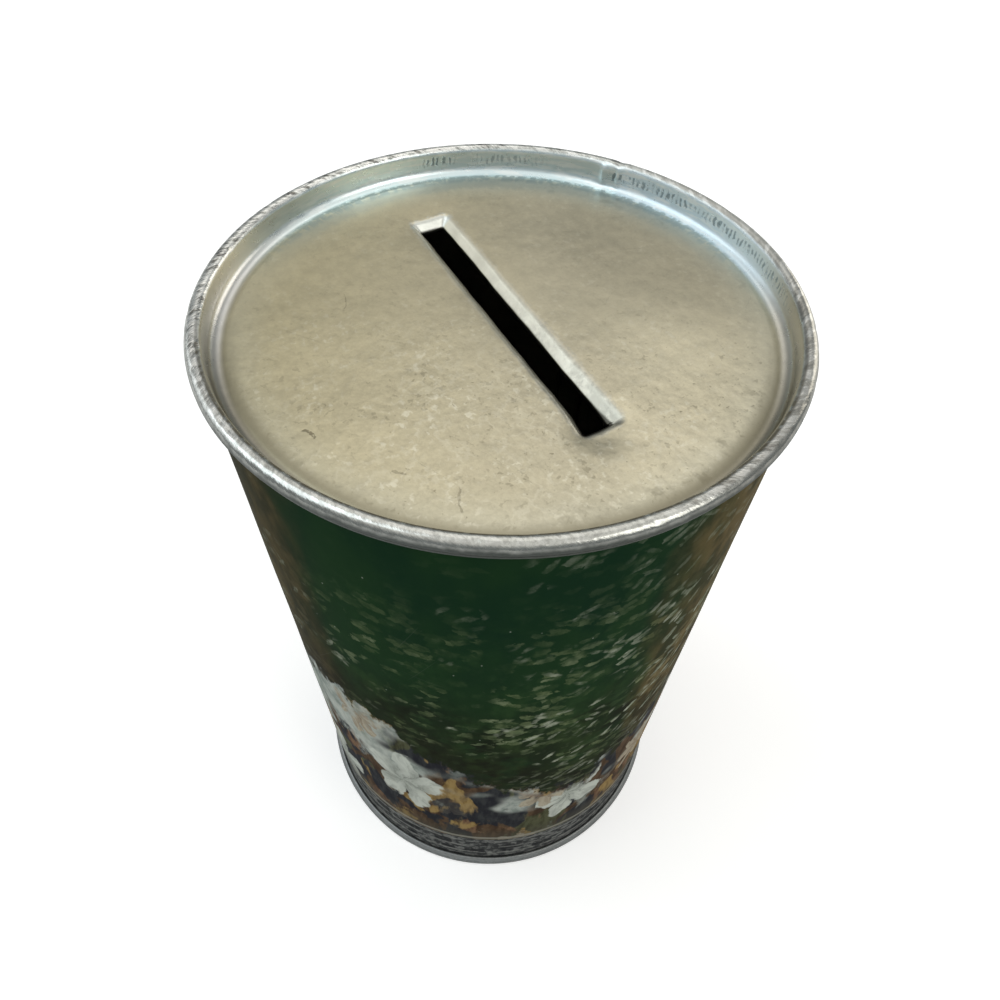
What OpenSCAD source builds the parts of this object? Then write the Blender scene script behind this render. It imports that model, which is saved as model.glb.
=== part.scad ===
// Can-shaped coin bank in tin plate, in millimetres, +Z up.
// The origin is at the centre of the base and the coin slot runs along X.

/* [Can] */
// Outside diameter of the body sheet
body_d = 52.28; // [50:0.2:60]
// Height over both double seams
can_h = 87; // [70:1:120]

/* [Plate] */
// Thickness of the body's tin plate
body_t = 0.25; // [0.2:0.01:0.3]
// Thickness of the ends' tin plate
end_t = 0.26; // [0.2:0.01:0.3]

/* [Double seam] */
// Height of the double seam
seam_h = 1.9; // [1.8:0.05:2.4]
// Height of the seam's upright wall, from the rim down
upright_h = 0.95; // [0.9:0.05:1.05]
// Depth of the body hook's tip below the rim
body_hook = 1.2; // [1.1:0.05:1.3]
// Outer radius of the rim on the inside of the seam
rim_in_r = 0.45; // [0.35:0.05:0.5]
// Outer radius of the rim on the outside of the seam
rim_out_r = 0.55; // [0.4:0.05:0.6]
// Clearance between the folded layers
play = 0.03; // [0.02:0.01:0.04]
// Thickness of the sealing compound over the body's flange
compound_t = 0.08; // [0.06:0.01:0.12]
// Clearance between the compound and the sheets
seat = 0.005; // [0.004:0.001:0.01]

/* [Ends] */
// Depth of the end panel below the rim
panel_depth = 2.6; // [2.4:0.1:3.4]
// Depth of the groove round the panel
groove_h = 0.1; // [0.05:0.05:0.4]
// Radius of the groove's floor
groove_r = 0.9; // [0.5:0.05:1]
// Radius of the panel's edge
panel_r = 2; // [1:0.1:2.4]
// Draft of the wall between the rim and the groove
wall_draft = 0.1; // [0:0.02:0.2]
// Radius of the bead on the bottom end
bead_r = 18.5; // [14:0.5:20]
// Width of that bead
bead_w = 3; // [2:0.2:4]
// Height of that bead
bead_h = 0.45; // [0.2:0.05:0.6]

/* [Coin slot] */
// Clear length of the slot
slot_l = 31.5; // [30:0.1:36]
// Clear width of the slot
slot_w = 2.5; // [2.3:0.1:5]
// Corner radius of the clear slot
slot_r = 0.2; // [0.15:0.05:0.6]
// Width of the slope between the panel and the clear slot
edge_w = 0.75; // [0.5:0.05:1.2]
// Depth of that slope
edge_d = 0.8; // [0.5:0.05:1.2]
// Outer radius where the panel turns into the slope
edge_top_r = 0.5; // [0.4:0.05:0.8]
// Outer radius where the slope turns straight down
edge_low_r = 0.35; // [0.35:0.05:0.6]
// Height of the straight lip below the slope
lip_h = 0.2; // [0.1:0.05:2]
// Offset of the slot along its length
slot_x = -0.9; // [-2:0.1:2]
// Offset of the slot across its width
slot_y = 0.7; // [-2:0.1:2]

/* [Side seam] */
// Place of the side seam round the body, in degrees
seam_turn = 127.5; // [90:0.5:270]
// Half width of the lock
lock_w = 1.3; // [1:0.1:1.8]
// Clearance between the layers of the lock
lock_play = 0.02; // [0.01:0.01:0.03]
// Depth of the outer groove's slope, along the sheet
slope_w = 0.95; // [0.8:0.05:1.3]
// Height of the lapped stretch at each end of the side seam
lap_h = 5; // [4:0.5:8]

/* [Hidden] */
$fn = 144;

// Radii of the layers of the double seam, from the inside out
body_r = body_d / 2;
body_in = body_r - body_t;
chuck_r = body_in - play;
rim_in = chuck_r - end_t;
hook_in = body_r + play;
hook_out = hook_in + end_t;
flange_in = hook_out + play;
flange_out = flange_in + body_t;
wall_in = flange_out + play;
wall_out = wall_in + end_t;

// Slope of the seam's lower wall, and where its inner face starts and ends
slope = (wall_out - hook_in - 2 * end_t) / (seam_h - end_t - upright_h);
slope_t = end_t * sqrt(1 + slope * slope);
slope_top = upright_h + (wall_out - slope_t - wall_in) / slope;
slope_end = upright_h + (wall_out - slope_t - hook_out) / slope;

// Bend of the body's flange
bend_r = (flange_out - body_in) / 2;
bend_c = (flange_out + body_in) / 2;
bend_z = end_t + compound_t + bend_r;
tip_z = bend_z + lock_play;
flange_cut = upright_h + (wall_out - slope_t - play - flange_out) / slope;
flange_tip = wall_out - slope_t - play - (body_hook - upright_h) * slope;

// Groove round the panel
groove_c = rim_in - wall_draft - groove_r;
groove_z = panel_depth + groove_h - groove_r;
groove_a = acos(1 - groove_h / (groove_r + panel_r));
panel_x = groove_c - (groove_r + panel_r) * sin(groove_a);
panel_z = panel_depth + panel_r;

// The slot's edge: the angle of its slope, the centres of its bends, its depth, and its reach
// outside the clear slot up to the flat panel. Half of end_t more is cut off the panel, and the edge
// goes on for the whole of end_t, so that the two share a strip of sheet.
edge_a = atan(edge_d / edge_w);
edge_top = [edge_w + edge_top_r * tan(edge_a / 2), edge_top_r];
edge_low = [edge_low_r, edge_d + edge_low_r * tan(45 - edge_a / 2)];
edge_h = edge_low.y + lip_h;
edge_out = edge_top.x;
cut_out = edge_out + end_t / 2;

// Layers of the side seam's lock, from the outside in
pitch = body_t + lock_play;
lock_d = 3 * body_t + 2 * lock_play;
fold_a = body_r - lock_d / 2;
fold_b = fold_a - pitch;
low_r = body_r - 3 * pitch;
slope_s = lock_w + 0.15;
slope_e = slope_s + slope_w;
slope_k = body_t * tan(atan(3 * pitch / slope_w) / 2);
cut_s = slope_e + slope_k + 0.1;
skin_out = body_r - lock_play;
skin_in = body_in + lock_play;

function arc(c, r, from, to, n = 8) =
    [for (i = [0:n]) c + r * [cos(from + (to - from) * i / n), sin(from + (to - from) * i / n)]];

// A fold's reach along the sheet, as a share of its half thickness
fold_oval = 0.8;

// A point of the side seam: s along the sheet, r from the can's axis
function on(s, r) = r * [cos(seam_turn + s / body_r * 180 / PI), sin(seam_turn + s / body_r * 180 / PI)];
function run(from, to, r, n = 8) = [for (i = [0:n]) on(from + (to - from) * i / n, r)];
function fold(s, c, r, from, to, n = 10) =
    [for (i = [0:n]) let (a = from + (to - from) * i / n) on(s + fold_oval * r * cos(a), c + r * sin(a))];

// The section of an end in radius and depth below its rim, from the panel's face out to the hook
function end_rim() = concat(
    arc([panel_x, panel_z], panel_r, 270, 270 + groove_a),
    arc([groove_c, groove_z], groove_r, 90 + groove_a, 0),
    arc([rim_in + rim_in_r, rim_in_r], rim_in_r, 180, 270),
    arc([wall_out - rim_out_r, rim_out_r], rim_out_r, 270, 360),
    [[wall_out, upright_h]],
    arc([hook_in + end_t, seam_h - end_t], end_t, 0, 180, 12),
    [[hook_in, tip_z], [hook_out, tip_z], [hook_out, slope_end], [wall_in, slope_top]],
    arc([wall_out - rim_out_r, rim_out_r], rim_out_r - end_t, 360, 270),
    arc([rim_in + rim_in_r, rim_in_r], rim_in_r - end_t, 270, 180),
    arc([groove_c, groove_z], groove_r + end_t, 0, 90 + groove_a),
    arc([panel_x, panel_z], panel_r - end_t, 270 + groove_a, 270));

// The bead of the bottom end's panel, as seen from its face or from its back
function bead(lift, n = 16) =
    [for (i = [0:n]) [bead_r + bead_w * (i / n - 0.5),
                      panel_depth + lift - bead_h * (1 - cos(360 * i / n)) / 2]];

// A plain end: a panel with or without the bead, and the rim round it
module end_plate(beaded) {
    face = beaded ? bead(0) : [];
    back = beaded ? bead(end_t) : [];
    rotate_extrude()
        polygon(concat([[0, panel_depth]], face, end_rim(),
                       [for (i = [len(back) - 1:-1:0]) back[i]], [[0, panel_depth + end_t]]));
}

// A hole with round corners
module slot_hole(l, w, r) {
    square([l, w - 2 * r], center = true);
    square([l - 2 * r, w], center = true);
    for (x = [-1, 1], y = [-1, 1])
        translate([x * (l / 2 - r), y * (w / 2 - r)]) circle(r);
}

// The section of the slot's edge: x away from the clear slot, y into the can. It starts inside the
// panel's sheet, slopes in and then turns straight down.
module turned_section() {
    polygon(concat(
        [[edge_out + end_t, 0]],
        arc(edge_top, edge_top_r, 270, 270 - edge_a),
        arc(edge_low, edge_low_r, 270 - edge_a, 180),
        [[0, edge_h], [end_t, edge_h]],
        arc(edge_low, edge_low_r - end_t, 180, 270 - edge_a, 4),
        arc(edge_top, edge_top_r - end_t, 270 - edge_a, 270),
        [[edge_out + end_t, end_t]]));
}

module turned_run(l) {
    rotate([90, 0, 0]) linear_extrude(height = l, center = true) turned_section();
}

module turned_edge() {
    for (k = [0, 1]) rotate([0, 0, 180 * k]) {
        translate([slot_l / 2, 0, 0]) turned_run(slot_w - 2 * slot_r);
        translate([0, slot_w / 2, 0]) rotate([0, 0, 90]) turned_run(slot_l - 2 * slot_r);
        translate([slot_l / 2 - slot_r, slot_w / 2 - slot_r, 0])
            rotate_extrude(angle = 90) translate([slot_r, 0]) turned_section();
        translate([slot_l / 2 - slot_r, -slot_w / 2 + slot_r, 0]) rotate([0, 0, -90])
            rotate_extrude(angle = 90) translate([slot_r, 0]) turned_section();
    }
}

// The body's flange and hook at one end, up to the end of the lap
module body_ring() {
    rotate_extrude() polygon(concat(
        [[body_in, lap_h]],
        arc([bend_c, bend_z], bend_r, 180, 360, 16),
        [[flange_out, flange_cut], [flange_tip, body_hook], [flange_in, body_hook]],
        arc([bend_c, bend_z], bend_r - body_t, 360, 180, 16),
        [[body_r, lap_h]]));
}

// The sheet's two edges, hooked into each other along the side seam. Each starts inside the rolled sheet.
module lock_a() {
    polygon(concat(
        [on(lock_w - 0.1, skin_out), on(lock_w + 0.03, skin_out)],
        fold(lock_w, fold_a, lock_d / 2, 65, -65),
        run(lock_w, 0.05 - lock_w, body_r - lock_d),
        run(0.05 - lock_w, lock_w, body_r - 2 * pitch),
        fold(lock_w, fold_a, lock_d / 2 - body_t, -65, 65),
        [on(lock_w + 0.03, skin_in), on(lock_w - 0.1, skin_in)]));
}

module lock_b() {
    polygon(concat(
        [on(cut_s + 0.1, skin_out), on(slope_e, skin_out)],
        run(slope_s, -lock_w, low_r),
        fold(-lock_w, fold_b, lock_d / 2 - body_t, 260, 100),
        run(-lock_w, lock_w - 0.05, body_r - pitch - body_t),
        run(lock_w - 0.05, -lock_w, body_r - pitch),
        fold(-lock_w, fold_b, lock_d / 2, 100, 260),
        run(-lock_w, slope_s + slope_k, low_r - body_t),
        [on(slope_e + slope_k, skin_in), on(cut_s + 0.1, skin_in)]));
}

// What the lock cuts out of the rolled sheet
module seam_gap() {
    polygon([on(lock_w, body_in - 1), on(lock_w, body_r + 1),
             on(cut_s, body_r + 1), on(cut_s, body_in - 1)]);
}

module body_shell() {
    color([0.13, 0.24, 0.15]) {
        body_ring();
        translate([0, 0, can_h]) mirror([0, 0, 1]) body_ring();
        translate([0, 0, lap_h]) linear_extrude(height = can_h - 2 * lap_h) {
            difference() {
                circle(body_r);
                circle(body_in);
                seam_gap();
            }
            lock_a();
            lock_b();
        }
    }
}

module side_seam_solder() {
    low = on(slope_s, low_r);
    top = on(slope_e, skin_out);
    color([0.62, 0.63, 0.62])
        translate([0, 0, lap_h]) linear_extrude(height = can_h - 2 * lap_h)
            polygon(concat(
                [on(lock_w + 0.03, skin_out)],
                fold(lock_w, fold_a, lock_d / 2, 65, -39, 8),
                [low + (top - low) * 0.3],
                run(slope_e, lock_w + 0.03, skin_out, 4)));
}

module top_end() {
    color([0.72, 0.7, 0.62]) translate([0, 0, can_h]) mirror([0, 0, 1]) {
        difference() {
            end_plate(false);
            translate([slot_x, slot_y, panel_depth - end_t]) linear_extrude(height = 3 * end_t)
                slot_hole(slot_l + 2 * cut_out, slot_w + 2 * cut_out, slot_r + cut_out);
        }
        translate([slot_x, slot_y, panel_depth]) turned_edge();
    }
}

module bottom_end() {
    color([0.7, 0.69, 0.63]) end_plate(true);
}

// The compound fills the space between the end's curl and the body's flange
module compound_ring() {
    in_a = asin((bend_z - rim_in_r) / bend_r);
    out_a = asin((bend_z - rim_out_r) / bend_r);
    rotate_extrude() polygon(concat(
        arc([rim_in + rim_in_r, rim_in_r], rim_in_r - end_t - seat, 180, 270),
        arc([wall_out - rim_out_r, rim_out_r], rim_out_r - end_t - seat, 270, 360),
        arc([bend_c, bend_z], bend_r + seat, 360 - out_a, 180 + in_a, 12)));
}

module top_seam_compound() {
    color([0.35, 0.3, 0.22]) translate([0, 0, can_h]) mirror([0, 0, 1]) compound_ring();
}

module bottom_seam_compound() {
    color([0.35, 0.3, 0.22]) compound_ring();
}

body_shell();
side_seam_solder();
top_end();
top_seam_compound();
bottom_end();
bottom_seam_compound();
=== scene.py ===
import math

import bpy
import numpy as np
from mathutils import Matrix, Vector


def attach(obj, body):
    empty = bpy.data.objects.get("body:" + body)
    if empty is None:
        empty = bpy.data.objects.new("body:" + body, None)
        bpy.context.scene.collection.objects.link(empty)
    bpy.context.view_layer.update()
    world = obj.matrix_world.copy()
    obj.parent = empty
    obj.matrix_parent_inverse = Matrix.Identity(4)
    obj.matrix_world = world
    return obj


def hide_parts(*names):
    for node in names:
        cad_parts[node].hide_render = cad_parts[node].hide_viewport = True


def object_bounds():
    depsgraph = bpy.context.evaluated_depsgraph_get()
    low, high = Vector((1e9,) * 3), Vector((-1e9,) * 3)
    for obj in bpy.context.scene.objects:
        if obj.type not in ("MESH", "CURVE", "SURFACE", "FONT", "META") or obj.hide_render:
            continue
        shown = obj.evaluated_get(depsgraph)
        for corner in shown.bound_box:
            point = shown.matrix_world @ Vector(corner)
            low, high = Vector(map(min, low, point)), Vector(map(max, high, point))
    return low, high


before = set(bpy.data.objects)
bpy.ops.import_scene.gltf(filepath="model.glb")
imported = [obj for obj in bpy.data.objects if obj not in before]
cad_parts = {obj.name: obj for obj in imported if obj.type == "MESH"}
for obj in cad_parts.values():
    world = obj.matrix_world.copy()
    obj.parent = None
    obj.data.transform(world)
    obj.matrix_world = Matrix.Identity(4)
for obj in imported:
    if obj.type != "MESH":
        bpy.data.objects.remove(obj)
cad_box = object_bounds()

MM = 0.001

# The can, with the CAD model's values
can_h = cad_box[1].z / MM
wall_out = cad_box[1].x / MM
body_t, end_t, play = 0.25, 0.26, 0.03
body_r = wall_out - 2 * end_t - body_t - 3 * play
body_in = body_r - body_t
seam_h, upright_h, body_hook = 1.9, 0.95, 1.2
rim_in_r, rim_out_r, corner_r = 0.58, 0.72, 0.25  # a little rounder than the CAD model's rim
rim_in = body_in - play - end_t
hook_in = body_r + play
hook_out = hook_in + end_t
flange_in = hook_out + play
flange_out = flange_in + body_t
wall_in = wall_out - end_t

# The ends
panel_depth, groove_h, groove_r, panel_r, wall_draft = 2.6, 0.1, 0.9, 2.0, 0.1
bead_r, bead_w, bead_h = 18.5, 3.0, 0.45
groove_c = rim_in - wall_draft - groove_r
groove_z = panel_depth + groove_h - groove_r
groove_a = math.degrees(math.acos(1 - groove_h / (groove_r + panel_r)))
panel_x = groove_c - (groove_r + panel_r) * math.sin(math.radians(groove_a))
panel_z = panel_depth + panel_r
# Centres of the rim's two upper corners
inner_c, outer_c = (rim_in + rim_in_r, rim_in_r), (wall_out - rim_out_r, rim_out_r)

# The slot and its turned-down edge, which slopes in before it turns down
slot_l, slot_w, slot_r = 31.5, 2.5, 0.2
slot_x, slot_y = -0.9, 0.7
turn_w, turn_s, turn_h, turn_r = 0.75, 0.8, 1.14, 0.25
turn_more, turn_soft = 0.3, 0.7
brow = 1.5  # how far out of the slot the panel still follows its uneven edge

# The side seam
seam_turn = 127.5
lock_w, lock_play, slope_w, lap_h = 1.3, 0.02, 0.95, 5.0
lock_step = 3 * (body_t + lock_play)
slope_s = lock_w + 0.15
slope_e = slope_s + slope_w

# The seam's sloping lower wall, seen in radius against depth
slope = (wall_out - hook_in - 2 * end_t) / (seam_h - end_t - upright_h)
slope_t = end_t * math.sqrt(1 + slope * slope)
slope_top = upright_h + (wall_out - slope_t - wall_in) / slope
slope_end = upright_h + (wall_out - slope_t - hook_out) / slope
bend_r = (flange_out - body_in) / 2
bend_c = (flange_out + body_in) / 2
bend_z = end_t + 0.08 + bend_r

COLUMNS = 960  # points round the lid
BODY_COLUMNS = 640  # points round the body and the base, apart from those at the side seam


# Shapes


def all_round(n):
    """n angles round the can."""
    return np.arange(n) * 2 * np.pi / n


def arc(centre, r, start, stop, n):
    a = np.radians(np.linspace(start, stop, n + 1))
    return np.stack([centre[0] + r * np.cos(a), centre[1] + r * np.sin(a)], 1)


def path(*parts):
    """One line of (radius, depth) points, without doubled ones."""
    line = np.concatenate([np.atleast_2d(np.array(p, float)) for p in parts])
    far = np.ones(len(line), bool)
    far[1:] = np.hypot(*np.diff(line, axis=0).T) > 1e-4
    return line[far]


def along(a, b, n):
    """n points between a and b, without the two ends."""
    t = np.linspace(0, 1, n + 2)[1:-1, None]
    return np.array(a) * (1 - t) + np.array(b) * t


def fillet(before, corner, after, r, n):
    """Points of a corner rounded with radius r."""
    a, b = np.subtract(before, corner), np.subtract(after, corner)
    a, b = a / np.hypot(*a), b / np.hypot(*b)
    half = math.acos(a @ b) / 2
    middle = corner + (a + b) / np.hypot(*(a + b)) * r / math.sin(half)
    t = np.linspace(0, 1, n + 1)[:, None]
    points = corner + (a * (1 - t) + b * t) * r / math.tan(half) - middle
    return middle + points / np.hypot(*points.T)[:, None] * r


def rim_face():
    """The outer face of an end, from the panel's edge over the rim and under the seam."""
    wall_top, wall_low = (groove_c + groove_r, groove_z), (rim_in, rim_in_r)
    low = (hook_in + 2 * end_t, seam_h - end_t)
    return path(
        arc((panel_x, panel_z), panel_r, 270, 270 + groove_a, 8),
        arc((groove_c, groove_z), groove_r, 90 + groove_a, 0, 14),
        along(wall_top, wall_low, 5),
        arc(inner_c, rim_in_r, 180, 270, 10),
        along((inner_c[0], 0), (outer_c[0], 0), 2),
        arc(outer_c, rim_out_r, 270, 360, 12),
        fillet((wall_out, 0), (wall_out, upright_h), low, corner_r, 4),
        along((wall_out, upright_h), low, 4)[1:],
        arc((hook_in + end_t, seam_h - end_t), end_t, 0, 180, 12),
        along((hook_in, seam_h - end_t), (hook_in, bend_z), 1),
    )


def rim_back():
    """The hidden face of an end, from the hook's tip back to the panel's edge."""
    return path(
        [(hook_in, bend_z + lock_play), (hook_out, bend_z + lock_play)],
        [(hook_out, slope_end), (wall_in, slope_top)],
        arc(outer_c, rim_out_r - end_t, 360, 270, 6),
        arc(inner_c, rim_in_r - end_t, 270, 180, 6),
        arc((groove_c, groove_z), groove_r + end_t, 0, 90 + groove_a, 8),
        arc((panel_x, panel_z), panel_r - end_t, 270 + groove_a, 270, 2),
    )


def ripple(x, y, wave, seed, terms=7):
    """A smooth uneven field from -1 to 1, about wave from crest to crest."""
    rng = np.random.default_rng(seed)
    total = np.zeros(np.broadcast(x, y).shape)
    for _ in range(terms):
        heading = rng.uniform(0, 2 * np.pi)
        pitch = 2 * np.pi / wave * rng.uniform(0.6, 1.5)
        phase = rng.uniform(0, 2 * np.pi)
        total = total + np.sin(pitch * (np.cos(heading) * x + np.sin(heading) * y) + phase)
    return total / terms * 1.6


def hump(x, width):
    return np.exp(-((x / width) ** 2))


def soft_step(x, lo, hi):
    t = np.clip((x - lo) / (hi - lo), 0, 1)
    return t * t * (3 - 2 * t)


def turn_to(angle, centre_deg):
    """How far an angle in radians is from a place round the can, as a length along the rim."""
    away = np.angle(np.exp(1j * (angle - math.radians(centre_deg))))
    return away * wall_out


def rim_wear(angle, line, seed, knocks, deepest):
    """How far each point of the rim is pushed into the metal by small knocks."""
    rng = np.random.default_rng(seed)
    s = np.concatenate([[0], np.cumsum(np.hypot(*np.diff(line, axis=0).T))])
    top = int(np.argmin(line[:, 1]))
    push = np.zeros((len(line), len(angle)))
    for _ in range(knocks):
        at, place = rng.uniform(0, 360), s[top] + rng.uniform(-0.5, 1.9)
        wide, high = rng.uniform(0.15, 0.7), rng.uniform(0.1, 0.3)
        depth = deepest * rng.uniform(0.25, 1) ** 2
        lean = rng.uniform(-1.2, 1.2)
        across = turn_to(angle, at)[None, :] - lean * (s - place)[:, None]
        push += depth * hump(across, wide) * hump(s - place, high)[:, None]
    return np.minimum(push, 0.1)


def into_metal(line):
    """Unit normals of a face's line, pointing into the sheet."""
    d = np.gradient(line, axis=0)
    d /= np.maximum(np.hypot(d[:, 0], d[:, 1]), 1e-9)[:, None]
    return np.stack([-d[:, 1], d[:, 0]], 1)


def rim_rings(face, angle, seed, knocks, deepest):
    """(radius, depth) of a face of the rim round the can, uneven and knocked as a used tin is."""
    line_r, line_d = face[:, :1], face[:, 1:]
    normal = into_metal(face)
    push = rim_wear(angle, face, seed, knocks, deepest)
    outside = np.clip((line_r - 26.2) / 0.5, 0, 1)
    wave = (1 + ripple(angle * 9, 0 * angle, 11, seed + 1)[None, :]) / 2
    r = line_r + normal[:, :1] * push - 0.05 * wave * outside
    d = line_d + normal[:, 1:] * push
    # Where the side seam runs into it, the seam is thicker inside, lower outside and pinched on top
    away = turn_to(angle, seam_turn) + 0.8
    crossing = hump(away, 1.1)[None, :]
    crease = (hump(away - 0.4, 0.26) + hump(away + 1.4, 0.26))[None, :]
    inner = hump(line_r - rim_in, 0.25) * np.clip((line_d - 0.2) / 0.5, 0, 1)
    inner = inner * np.clip((panel_depth + 0.2 - line_d) / 0.4, 0, 1)
    r = r - (0.14 * crossing + 0.13 * crease) * inner
    d = d + 0.1 * hump(away + 1.3, 0.5)[None, :] * hump(line_d, 0.3)
    d = d + 0.16 * crossing * np.clip((line_d - 1.2) / 0.4, 0, 1) * outside
    return r, d


def ring_points(r, d, angle, top):
    z = can_h - d if top else d
    return np.stack([r * np.cos(angle)[None, :], r * np.sin(angle)[None, :], z + 0 * r], 2)


def spin(line, angle, top):
    """A plain (radius, depth) line turned round the can."""
    r, d = line.T[:, :, None] + 0 * angle
    return ring_points(r, d, angle, top)


def slot_outline(offset, corner):
    """The slot's outline, moved out by offset, and its normals, point by point as round the panel."""
    turn = all_round(COLUMNS)
    u = np.angle(np.exp(1j * turn))
    right = np.abs(u) <= np.pi / 2
    # a runs from -90 to 90 degrees over each half: long side, corner, short side, corner, long side
    a = np.where(right, u, np.angle(np.exp(1j * (np.pi - turn))))
    end_a, share = 0.2, 0.45
    half_l, half_w = slot_l / 2 + offset - corner, slot_w / 2 + offset - corner
    short, long = np.abs(a) <= end_a * share, np.abs(a) > end_a
    b = np.clip((np.abs(a) / end_a - share) / (1 - share), 0, 1) * np.pi / 2
    t = np.clip((np.abs(a) - end_a) / (np.pi / 2 - end_a), 0, 1)
    x = half_l * np.cos(t * np.pi / 2) * (1 - 0.25 * t * (1 - t)) + np.where(long, 0, corner * np.cos(b))
    y = np.where(short, half_w * a / (end_a * share), np.sign(a) * (half_w + corner * np.sin(b)))
    side = np.where(right, 1, -1)
    return np.stack([x * side, y], 1), np.stack([np.cos(b) * side, np.sin(b) * np.sign(a)], 1)


def on_panel(p, depth, share):
    """Points over the lid's panel, drawn down a little at the slot, and dented past its ends."""
    x, y = p.T
    dx, dy = np.abs(x - slot_x) - slot_l / 2, np.abs(y - slot_y) - slot_w / 2
    off = np.hypot(np.maximum(dx, 0), np.maximum(dy, 0))
    d = 0.08 * hump(off, 1.5) + 0.04 * ripple(x, y, 17, 5) + 0.014 * ripple(x, y, 5, 6)
    past = (x - slot_x - slot_l / 2 - 0.9) / 2.2
    d = d + 0.42 * np.exp(-(past**2) - ((y - slot_y + 0.5) / 2.2) ** 2)
    d = d + 0.08 * np.exp(-(((x + slot_l / 2 + 2.0) / 2.5) ** 2) - ((y - slot_y) / 2.5) ** 2)
    return np.stack([x, y, can_h - (panel_depth + depth + d * share)], 1)


def slot_ring(offset, depth):
    """A ring round the slot, whose edge is uneven and slopes wider at one end of one side."""
    clear, normal = slot_outline(0, slot_r)
    x, y = clear.T
    waver = (0.06 * ripple(x, y * 3, 9, 11) + 0.035 * ripple(x, y, 2.6, 12)) * np.abs(normal[:, 1])
    dip = 0.03 * ripple(x, y * 5, 6, 13)
    slack = turn_more * np.clip(normal[:, 1], 0, 1) * np.clip(0.5 + x / slot_l, 0, 1)
    outline, _ = slot_outline(offset, slot_r + 0.35 * offset)
    follow = np.clip((brow - offset) / (brow - turn_w), 0, 1)
    narrow = slack * np.clip(1 - offset / (turn_w + 0.3), 0, 1)
    p = [slot_x, slot_y] + outline + normal * (follow * waver - narrow)[:, None]
    return on_panel(p, depth + dip * follow, 1)


def panel_ring(t, under=0.0):
    """A ring of the lid's panel, from the slot's brow at t = 0 to the round edge at t = 1."""
    outline, _ = slot_outline(brow, slot_r + 0.35 * brow)
    turn = all_round(COLUMNS)
    circle = panel_x * np.stack([np.cos(turn), np.sin(turn)], 1)
    p = ([slot_x, slot_y] + outline) * (1 - t) + circle * t
    return on_panel(p, under, np.clip((1 - t) * 6, 0, 1))


def lid_rings():
    """The lid's rings: up the slot's edge, over the panel and the rim, and back underneath."""
    turn = all_round(COLUMNS)
    low, bend, top, out = (0, turn_h), (0, turn_s), (turn_w, 0), (turn_w + 1, 0)
    tip = 0.03
    face = path([(tip, turn_h), (0, turn_h - tip)], along(low, bend, 2), fillet(low, bend, top, turn_r, 5))
    face = path(face, along(bend, top, 4)[1:3], fillet(bend, top, out, turn_soft, 8))
    back = [(turn_w + 0.3, end_t), (turn_w + 0.1, end_t + 0.02), (end_t, turn_s + 0.1)]
    back += [(end_t, turn_h - tip), (end_t - tip, turn_h)]
    rows = [slot_ring(o, d) for o, d in face]
    rows += [slot_ring(o, 0) for o in (1.1, 1.3)]
    rows += [panel_ring(t) for t in np.linspace(0, 1, 30)[:-1]]
    rows += list(ring_points(*rim_rings(rim_face(), turn, seed=21, knocks=110, deepest=0.075), turn, True))
    rows += list(spin(rim_back(), turn, True))
    rows += [panel_ring(t, end_t) for t in np.linspace(1, 0, 10)[1:]]
    rows += [slot_ring(o, d) for o, d in back]
    return np.stack(rows)


def base_rings():
    """The base's rings: from its middle out over the bead and the rim, and back inside."""
    angle = all_round(BODY_COLUMNS)
    s = np.linspace(0, 1, 17)
    bead_d = panel_depth - bead_h * (1 - np.cos(2 * np.pi * s)) / 2
    bead = np.stack([bead_r + bead_w * (s - 0.5), bead_d], 1)
    back = bead[::-1] + [0, end_t]
    flat = along((0, panel_depth), bead[0], 11)
    face = path(flat, bead, along(bead[-1], (panel_x, panel_depth), 3), rim_face())
    under = path(rim_back(), back, along(back[-1], (0, panel_depth + end_t), 8))
    r, d = rim_rings(face, angle, seed=41, knocks=70, deepest=0.06)
    calm = np.clip((panel_x - r) / 4, 0, 1) * np.clip(r / 3, 0, 1)
    x, y = r * np.cos(angle), r * np.sin(angle)
    d = d + calm * (0.05 * ripple(x, y, 19, 42) + 0.012 * ripple(x, y, 5, 43))
    d = np.maximum(d, 0)
    return np.concatenate([ring_points(r, d, angle, False), spin(under, angle, False)])


def body_angles():
    """Places round the body, close together at the side seam."""
    plain = all_round(BODY_COLUMNS)
    s = np.arange(-2.2, 3.2, 0.06)
    middle = math.radians(seam_turn) + 0.5 / body_r
    keep = np.abs(np.angle(np.exp(1j * (plain - middle)))) > 2.8 / body_r
    fine = math.radians(seam_turn) + s / body_r
    return np.sort(np.concatenate([plain[keep], fine]) % (2 * np.pi))


def body_heights():
    """Heights of the body's rings, close together where the lock gives way to the lap."""
    step = 0.25
    lapped = np.array([2.6, 4.2])
    joined = np.linspace(lap_h, can_h - lap_h, 52)
    joined[0] += step
    joined[-1] -= step
    return np.concatenate([lapped, [lap_h - step], joined, [can_h - lap_h + step], can_h - lapped[::-1]])


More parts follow.
